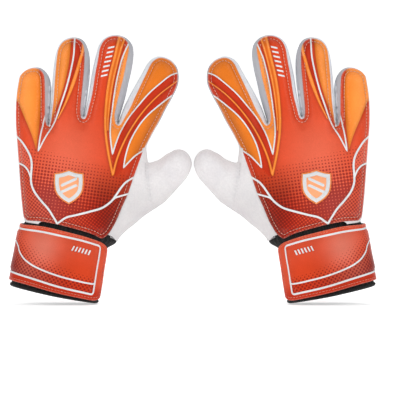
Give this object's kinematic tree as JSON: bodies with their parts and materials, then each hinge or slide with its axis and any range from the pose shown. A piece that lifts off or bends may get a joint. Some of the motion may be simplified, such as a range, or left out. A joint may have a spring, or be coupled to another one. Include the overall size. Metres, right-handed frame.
{
  "type": "goalkeeper gloves",
  "caption": "Pair of padded goalkeeper gloves: embossed back panels, latex palms and finger rolls, elastic wrists with wrap-around hook-and-loop straps; fingers, thumbs, wrists and straps move.",
  "frame": {"origin": "bottom centre of the pair's bounding box: on the plane between the two gloves, at the level of the lowest point of the cuffs", "axes": "+Z along the fingers, +X from the left glove to the right glove, +Y towards the palms, so the backs of the hands face -Y"},
  "size_m": [0.3506, 0.0562, 0.2562],
  "materials": {
    "back_panel": "embossed latex foam, satin, sewn over mesh; strap face alike",
    "strap_outer": "satin embossed strap face with a woven backing",
    "palm_latex": "soft matt grained latex foam",
    "cuff_elastic": "ribbed black elastic",
    "hook_loop": "black hook and loop tape",
    "badge": "moulded satin badge with a plain shield shape",
    "lining": "soft knitted lining"
  },
  "bodies": {
    "L_cuff": {"L_cuff_sleeve": "cuff_elastic", "L_cuff_binding": "cuff_elastic", "L_strap_anchor": "strap_outer", "L_loop_patch": "hook_loop"},
    "L_strap_middle": {"L_strap_middle": "strap_outer"},
    "L_strap_end": {"L_strap_end": "strap_outer", "L_hook_patch": "hook_loop"},
    "L_hand": {"L_hand_back": "back_panel", "L_hand_palm": "palm_latex", "L_thumb_gusset": "palm_latex", "L_hand_lining": "lining", "L_badge": "badge"},
    "L_index_base": {"L_index_back_base": "back_panel", "L_index_latex_base": "palm_latex"},
    "L_index_tip": {"L_index_back_tip": "back_panel", "L_index_latex_tip": "palm_latex"},
    "L_middle_base": {"L_middle_back_base": "back_panel", "L_middle_latex_base": "palm_latex"},
    "L_middle_tip": {"L_middle_back_tip": "back_panel", "L_middle_latex_tip": "palm_latex"},
    "L_ring_base": {"L_ring_back_base": "back_panel", "L_ring_latex_base": "palm_latex"},
    "L_ring_tip": {"L_ring_back_tip": "back_panel", "L_ring_latex_tip": "palm_latex"},
    "L_little_base": {"L_little_back_base": "back_panel", "L_little_latex_base": "palm_latex"},
    "L_little_tip": {"L_little_back_tip": "back_panel", "L_little_latex_tip": "palm_latex"},
    "L_thumb_base": {"L_thumb_base": "palm_latex"},
    "L_thumb_tip": {"L_thumb_tip": "palm_latex"},
    "R_cuff": {"R_cuff_sleeve": "cuff_elastic", "R_cuff_binding": "cuff_elastic", "R_strap_anchor": "strap_outer", "R_loop_patch": "hook_loop"},
    "R_strap_middle": {"R_strap_middle": "strap_outer"},
    "R_strap_end": {"R_strap_end": "strap_outer", "R_hook_patch": "hook_loop"},
    "R_hand": {"R_hand_back": "back_panel", "R_hand_palm": "palm_latex", "R_thumb_gusset": "palm_latex", "R_hand_lining": "lining", "R_badge": "badge"},
    "R_index_base": {"R_index_back_base": "back_panel", "R_index_latex_base": "palm_latex"},
    "R_index_tip": {"R_index_back_tip": "back_panel", "R_index_latex_tip": "palm_latex"},
    "R_middle_base": {"R_middle_back_base": "back_panel", "R_middle_latex_base": "palm_latex"},
    "R_middle_tip": {"R_middle_back_tip": "back_panel", "R_middle_latex_tip": "palm_latex"},
    "R_ring_base": {"R_ring_back_base": "back_panel", "R_ring_latex_base": "palm_latex"},
    "R_ring_tip": {"R_ring_back_tip": "back_panel", "R_ring_latex_tip": "palm_latex"},
    "R_little_base": {"R_little_back_base": "back_panel", "R_little_latex_base": "palm_latex"},
    "R_little_tip": {"R_little_back_tip": "back_panel", "R_little_latex_tip": "palm_latex"},
    "R_thumb_base": {"R_thumb_base": "palm_latex"},
    "R_thumb_tip": {"R_thumb_tip": "palm_latex"}
  },
  "joints": [
    {"name": "L_wrist_bend", "type": "hinge", "parent": "L_cuff", "child": "L_hand", "pos_m": [-0.1221, 0.00105, 0.06728], "axis": [-0.9744, 0, 0.225], "range_deg": [-15, 30], "stiffness_Nm_per_rad": 0.5},
    {"name": "L_index_curl", "type": "hinge", "parent": "L_hand", "child": "L_index_base", "pos_m": [-0.0487, 0.00105, 0.17292], "axis": [-0.9005, 0, 0.4348], "range_deg": [-5, 60], "stiffness_Nm_per_rad": 0.05},
    {"name": "L_index_tip_curl", "type": "hinge", "parent": "L_index_base", "child": "L_index_tip", "pos_m": [-0.03566, 0.00231, 0.19993], "axis": [-0.9005, 0, 0.4348], "range_deg": [-5, 60], "stiffness_Nm_per_rad": 0.03},
    {"name": "L_middle_curl", "type": "hinge", "parent": "L_hand", "child": "L_middle_base", "pos_m": [-0.0862, 0.00105, 0.18302], "axis": [-0.9774, 0, 0.2115], "range_deg": [-5, 60], "stiffness_Nm_per_rad": 0.05},
    {"name": "L_middle_tip_curl", "type": "hinge", "parent": "L_middle_base", "child": "L_middle_tip", "pos_m": [-0.07901, 0.00267, 0.21625], "axis": [-0.9774, 0, 0.2115], "range_deg": [-5, 60], "stiffness_Nm_per_rad": 0.03},
    {"name": "L_ring_curl", "type": "hinge", "parent": "L_hand", "child": "L_ring_base", "pos_m": [-0.1204, 0.00105, 0.18292], "axis": [-0.997, 0, 0.0772], "range_deg": [-5, 60], "stiffness_Nm_per_rad": 0.05},
    {"name": "L_ring_tip_curl", "type": "hinge", "parent": "L_ring_base", "child": "L_ring_tip", "pos_m": [-0.11793, 0.00248, 0.21482], "axis": [-0.997, 0, 0.0772], "range_deg": [-5, 60], "stiffness_Nm_per_rad": 0.03},
    {"name": "L_little_curl", "type": "hinge", "parent": "L_hand", "child": "L_little_base", "pos_m": [-0.1536, 0.00105, 0.17572], "axis": [-0.9997, 0, 0.0259], "range_deg": [-5, 60], "stiffness_Nm_per_rad": 0.05},
    {"name": "L_little_tip_curl", "type": "hinge", "parent": "L_little_base", "child": "L_little_tip", "pos_m": [-0.15303, 0.00173, 0.19771], "axis": [-0.9997, 0, 0.0259], "range_deg": [-5, 60], "stiffness_Nm_per_rad": 0.03},
    {"name": "L_thumb_fold", "type": "hinge", "parent": "L_hand", "child": "L_thumb_base", "pos_m": [-0.0415, 0.00105, 0.11492], "axis": [-0.065, 0, 0.9979], "range_deg": [0, 40], "stiffness_Nm_per_rad": 0.05},
    {"name": "L_thumb_tip_fold", "type": "hinge", "parent": "L_thumb_base", "child": "L_thumb_tip", "pos_m": [-0.02489, 0.00105, 0.12514], "axis": [-0.5241, 0, 0.8517], "range_deg": [0, 40], "stiffness_Nm_per_rad": 0.03},
    {"name": "L_strap_open", "type": "hinge", "parent": "L_cuff", "child": "L_strap_middle", "pos_m": [-0.16925, 0.00924, 0.04738], "axis": [-0.225, 0, -0.9744], "range_deg": [0, 100], "stiffness_Nm_per_rad": 0.02},
    {"name": "L_strap_end_open", "type": "hinge", "parent": "L_strap_middle", "child": "L_strap_end", "pos_m": [-0.14864, -0.02585, 0.04262], "axis": [-0.225, 0, -0.9744], "range_deg": [0, 60], "stiffness_Nm_per_rad": 0.02},
    {"name": "gloves_apart", "type": "slide", "parent": "L_cuff", "child": "R_cuff", "axis": [1, 0, 0], "range_m": [0, 0.1]},
    {"name": "R_wrist_bend", "type": "hinge", "parent": "R_cuff", "child": "R_hand", "pos_m": [0.1221, 0.00105, 0.06728], "axis": [-0.9744, 0, -0.225], "range_deg": [-15, 30], "stiffness_Nm_per_rad": 0.5},
    {"name": "R_index_curl", "type": "hinge", "parent": "R_hand", "child": "R_index_base", "pos_m": [0.0487, 0.00105, 0.17292], "axis": [-0.9005, 0, -0.4348], "range_deg": [-5, 60], "stiffness_Nm_per_rad": 0.05},
    {"name": "R_index_tip_curl", "type": "hinge", "parent": "R_index_base", "child": "R_index_tip", "pos_m": [0.03566, 0.00231, 0.19993], "axis": [-0.9005, 0, -0.4348], "range_deg": [-5, 60], "stiffness_Nm_per_rad": 0.03},
    {"name": "R_middle_curl", "type": "hinge", "parent": "R_hand", "child": "R_middle_base", "pos_m": [0.0862, 0.00105, 0.18302], "axis": [-0.9774, 0, -0.2115], "range_deg": [-5, 60], "stiffness_Nm_per_rad": 0.05},
    {"name": "R_middle_tip_curl", "type": "hinge", "parent": "R_middle_base", "child": "R_middle_tip", "pos_m": [0.07901, 0.00267, 0.21625], "axis": [-0.9774, 0, -0.2115], "range_deg": [-5, 60], "stiffness_Nm_per_rad": 0.03},
    {"name": "R_ring_curl", "type": "hinge", "parent": "R_hand", "child": "R_ring_base", "pos_m": [0.1204, 0.00105, 0.18292], "axis": [-0.997, 0, -0.0772], "range_deg": [-5, 60], "stiffness_Nm_per_rad": 0.05},
    {"name": "R_ring_tip_curl", "type": "hinge", "parent": "R_ring_base", "child": "R_ring_tip", "pos_m": [0.11793, 0.00248, 0.21482], "axis": [-0.997, 0, -0.0772], "range_deg": [-5, 60], "stiffness_Nm_per_rad": 0.03},
    {"name": "R_little_curl", "type": "hinge", "parent": "R_hand", "child": "R_little_base", "pos_m": [0.1536, 0.00105, 0.17572], "axis": [-0.9997, 0, -0.0259], "range_deg": [-5, 60], "stiffness_Nm_per_rad": 0.05},
    {"name": "R_little_tip_curl", "type": "hinge", "parent": "R_little_base", "child": "R_little_tip", "pos_m": [0.15303, 0.00173, 0.19771], "axis": [-0.9997, 0, -0.0259], "range_deg": [-5, 60], "stiffness_Nm_per_rad": 0.03},
    {"name": "R_thumb_fold", "type": "hinge", "parent": "R_hand", "child": "R_thumb_base", "pos_m": [0.0415, 0.00105, 0.11492], "axis": [-0.065, 0, -0.9979], "range_deg": [0, 40], "stiffness_Nm_per_rad": 0.05},
    {"name": "R_thumb_tip_fold", "type": "hinge", "parent": "R_thumb_base", "child": "R_thumb_tip", "pos_m": [0.02489, 0.00105, 0.12514], "axis": [-0.5241, 0, -0.8517], "range_deg": [0, 40], "stiffness_Nm_per_rad": 0.03},
    {"name": "R_strap_open", "type": "hinge", "parent": "R_cuff", "child": "R_strap_middle", "pos_m": [0.16925, 0.00924, 0.04738], "axis": [-0.225, 0, 0.9744], "range_deg": [0, 100], "stiffness_Nm_per_rad": 0.02},
    {"name": "R_strap_end_open", "type": "hinge", "parent": "R_strap_middle", "child": "R_strap_end", "pos_m": [0.14864, -0.02585, 0.04262], "axis": [-0.225, 0, 0.9744], "range_deg": [0, 60], "stiffness_Nm_per_rad": 0.02}
  ],
  "couplings": [
    {"joint": "L_index_tip_curl", "follows": "L_index_curl", "ratio": 1},
    {"joint": "L_middle_tip_curl", "follows": "L_middle_curl", "ratio": 1},
    {"joint": "L_ring_tip_curl", "follows": "L_ring_curl", "ratio": 1},
    {"joint": "L_little_tip_curl", "follows": "L_little_curl", "ratio": 1},
    {"joint": "L_thumb_tip_fold", "follows": "L_thumb_fold", "ratio": 1},
    {"joint": "L_strap_end_open", "follows": "L_strap_open", "ratio": 0.6},
    {"joint": "R_index_tip_curl", "follows": "R_index_curl", "ratio": 1},
    {"joint": "R_middle_tip_curl", "follows": "R_middle_curl", "ratio": 1},
    {"joint": "R_ring_tip_curl", "follows": "R_ring_curl", "ratio": 1},
    {"joint": "R_little_tip_curl", "follows": "R_little_curl", "ratio": 1},
    {"joint": "R_thumb_tip_fold", "follows": "R_thumb_fold", "ratio": 1},
    {"joint": "R_strap_end_open", "follows": "R_strap_open", "ratio": 0.6}
  ]
}
